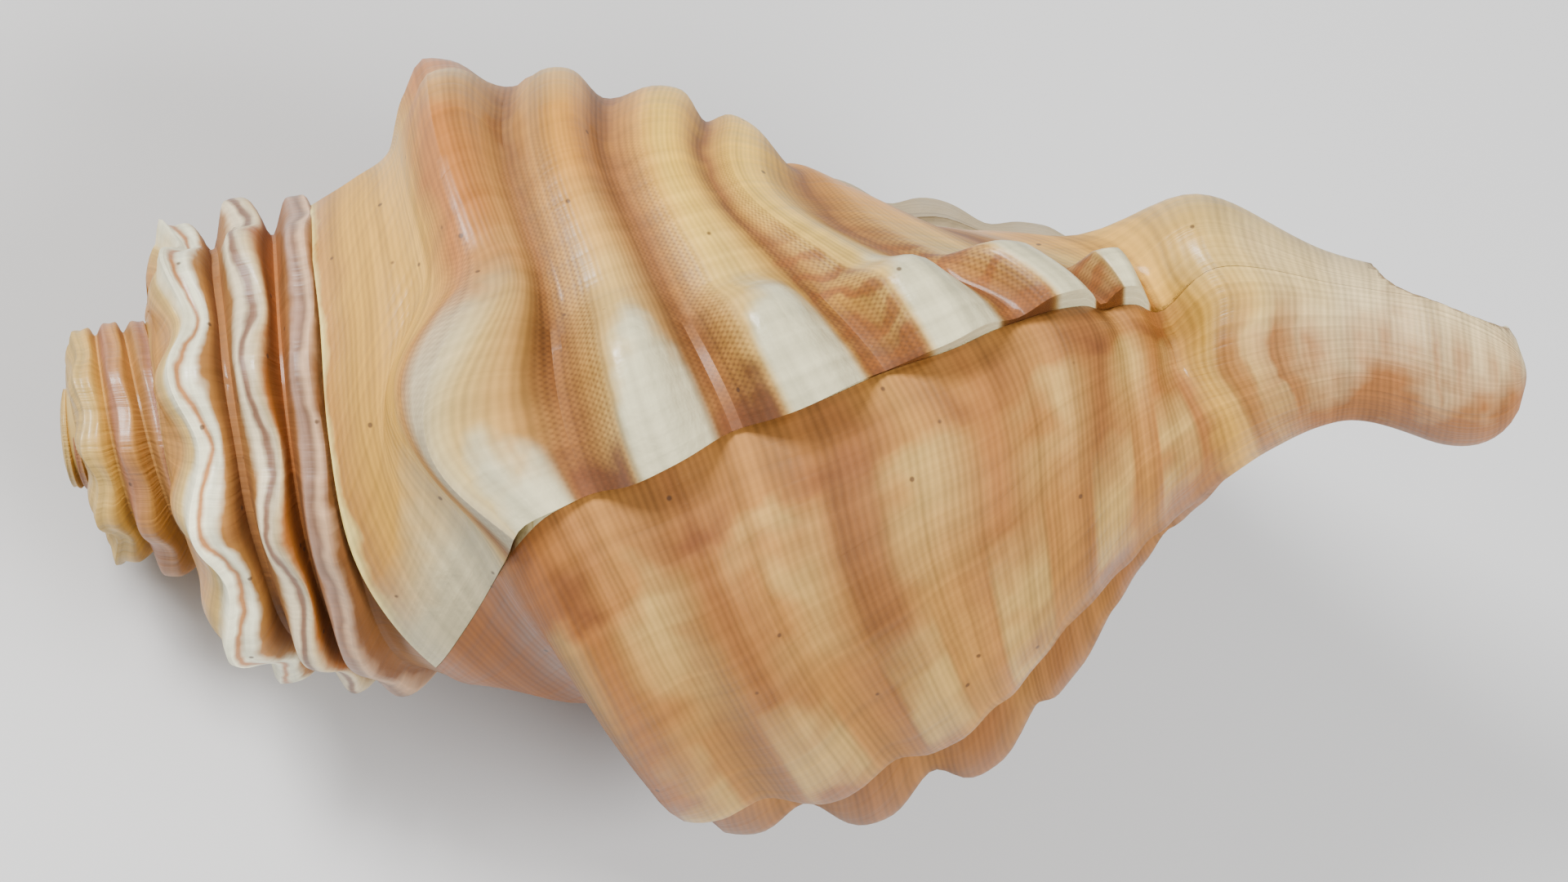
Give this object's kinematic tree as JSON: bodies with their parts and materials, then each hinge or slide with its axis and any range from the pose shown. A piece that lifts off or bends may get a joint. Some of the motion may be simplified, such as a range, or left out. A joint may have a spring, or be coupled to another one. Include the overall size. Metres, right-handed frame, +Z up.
{
  "type": "triton shell",
  "caption": "Large ribbed sea snail shell with a stepped knobbly spire, a flared mouth, a rib of white fingers and a long open canal.",
  "frame": {"origin": "on the surface the shell rests on, under the middle of its bounding box", "axes": "+Z up; +X from the pointed spire to the end of the canal, as seen from above; +Y toward the side the mouth opens on"},
  "size_m": [0.1398, 0.0802, 0.0807],
  "materials": {
    "shell": "glossy cream, orange and brown natural shell"
  },
  "bodies": {
    "root": {"shell": "shell"}
  },
  "joints": []
}
